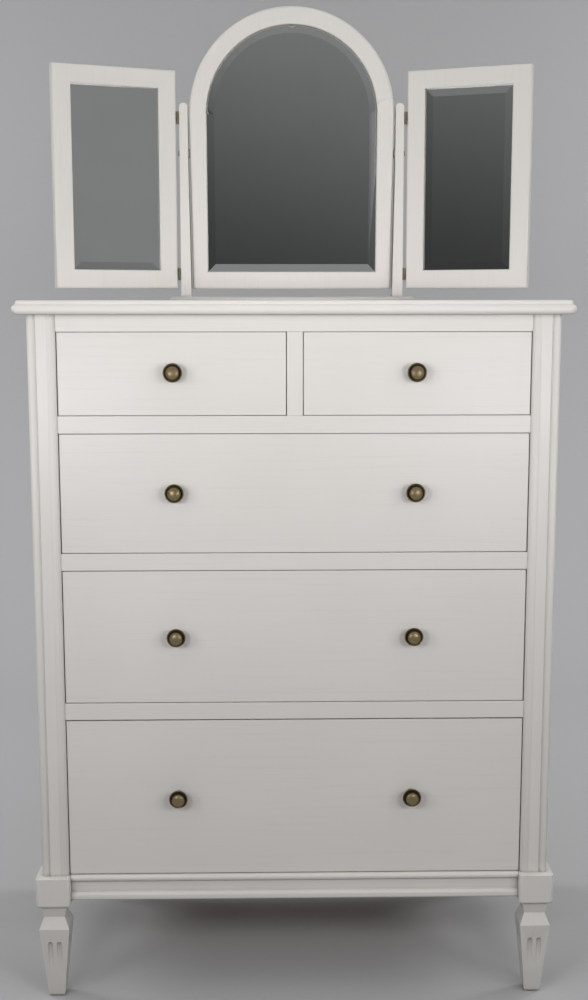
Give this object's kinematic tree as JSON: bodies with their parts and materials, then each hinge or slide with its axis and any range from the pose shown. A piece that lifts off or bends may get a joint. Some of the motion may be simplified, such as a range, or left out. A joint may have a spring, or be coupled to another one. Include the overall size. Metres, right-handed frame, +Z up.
{
  "type": "chest of drawers with dressing mirror",
  "caption": "Tall painted chest of drawers on tapered fluted legs, with a tilting arched dressing mirror and hinged wing mirrors standing on its top.",
  "frame": {"origin": "on the floor, under the middle of the outer box", "axes": "+X to the viewer's right, +Y to the back (the drawers open towards -Y), +Z up"},
  "size_m": [0.838, 0.4508, 1.5782],
  "materials": {
    "painted_wood": "satin off-white paint",
    "mirror_frame_paint": "satin off-white paint",
    "bare_wood": "raw softwood",
    "backing_board": "raw hardboard",
    "mirror_glass": "silvered, bevelled edge",
    "antique_brass": "aged, darker in the hollows",
    "hinge_brass": "satin",
    "screw_steel": "zinc plated",
    "fibre_washer": "matt"
  },
  "bodies": {
    "carcass": {"top_board": "painted_wood", "front_post_left": "painted_wood", "front_post_right": "painted_wood", "rear_posts": "painted_wood", "front_leg_left": "painted_wood", "front_leg_right": "painted_wood", "rear_legs": "painted_wood", "side_panel_left": "painted_wood", "side_panel_right": "painted_wood", "back_panel": "backing_board", "frieze_rail": "painted_wood", "drawer_rails": "painted_wood", "centre_stile": "painted_wood", "centre_runner": "bare_wood", "drawer_runners": "bare_wood", "drawer_stops": "bare_wood", "top_battens": "bare_wood", "rear_rails": "bare_wood", "plinth_front": "painted_wood", "plinth_sides": "painted_wood", "plinth_rear": "bare_wood", "top_screws": "screw_steel", "back_screws": "screw_steel", "mirror_base_screws": "screw_steel", "mirror_base": "mirror_frame_paint", "mirror_posts": "mirror_frame_paint", "pivot_washers": "fibre_washer", "hinge_post_leaves": "hinge_brass"},
    "centre_mirror": {"centre_frame": "mirror_frame_paint", "centre_glass": "mirror_glass", "centre_backing": "backing_board", "pivot_pins": "hinge_brass"},
    "wing_left": {"wing_left_frame": "mirror_frame_paint", "wing_left_glass": "mirror_glass", "wing_left_backing": "backing_board", "wing_left_hinge_leaves": "hinge_brass"},
    "wing_right": {"wing_right_frame": "mirror_frame_paint", "wing_right_glass": "mirror_glass", "wing_right_backing": "backing_board", "wing_right_hinge_leaves": "hinge_brass"},
    "top_left_drawer": {"top_left_drawer_front": "painted_wood", "top_left_drawer_walls": "bare_wood", "top_left_drawer_bottom": "bare_wood", "top_left_drawer_knobs": "antique_brass"},
    "top_right_drawer": {"top_right_drawer_front": "painted_wood", "top_right_drawer_walls": "bare_wood", "top_right_drawer_bottom": "bare_wood", "top_right_drawer_knobs": "antique_brass"},
    "upper_drawer": {"upper_drawer_front": "painted_wood", "upper_drawer_walls": "bare_wood", "upper_drawer_bottom": "bare_wood", "upper_drawer_knobs": "antique_brass"},
    "middle_drawer": {"middle_drawer_front": "painted_wood", "middle_drawer_walls": "bare_wood", "middle_drawer_bottom": "bare_wood", "middle_drawer_knobs": "antique_brass"},
    "bottom_drawer": {"bottom_drawer_front": "painted_wood", "bottom_drawer_walls": "bare_wood", "bottom_drawer_bottom": "bare_wood", "bottom_drawer_knobs": "antique_brass"}
  },
  "joints": [
    {"name": "top_left_drawer_slide", "type": "slide", "parent": "carcass", "child": "top_left_drawer", "axis": [0, -1, 0], "range_m": [0, 0.3]},
    {"name": "top_right_drawer_slide", "type": "slide", "parent": "carcass", "child": "top_right_drawer", "axis": [0, -1, 0], "range_m": [0, 0.3]},
    {"name": "upper_drawer_slide", "type": "slide", "parent": "carcass", "child": "upper_drawer", "axis": [0, -1, 0], "range_m": [0, 0.3]},
    {"name": "middle_drawer_slide", "type": "slide", "parent": "carcass", "child": "middle_drawer", "axis": [0, -1, 0], "range_m": [0, 0.3]},
    {"name": "bottom_drawer_slide", "type": "slide", "parent": "carcass", "child": "bottom_drawer", "axis": [0, -1, 0], "range_m": [0, 0.3]},
    {"name": "centre_tilt", "type": "hinge", "parent": "carcass", "child": "centre_mirror", "pos_m": [0, 0.0554, 1.347], "axis": [1, 0, 0], "range_deg": [-23, 17]},
    {"name": "wing_left_hinge", "type": "hinge", "parent": "carcass", "child": "wing_left", "pos_m": [-0.18725, 0.0454, 1.126], "axis": [0, 0, 1], "range_deg": [-20, 70]},
    {"name": "wing_right_hinge", "type": "hinge", "parent": "carcass", "child": "wing_right", "pos_m": [0.18725, 0.0454, 1.126], "axis": [0, 0, -1], "range_deg": [-20, 70]}
  ]
}
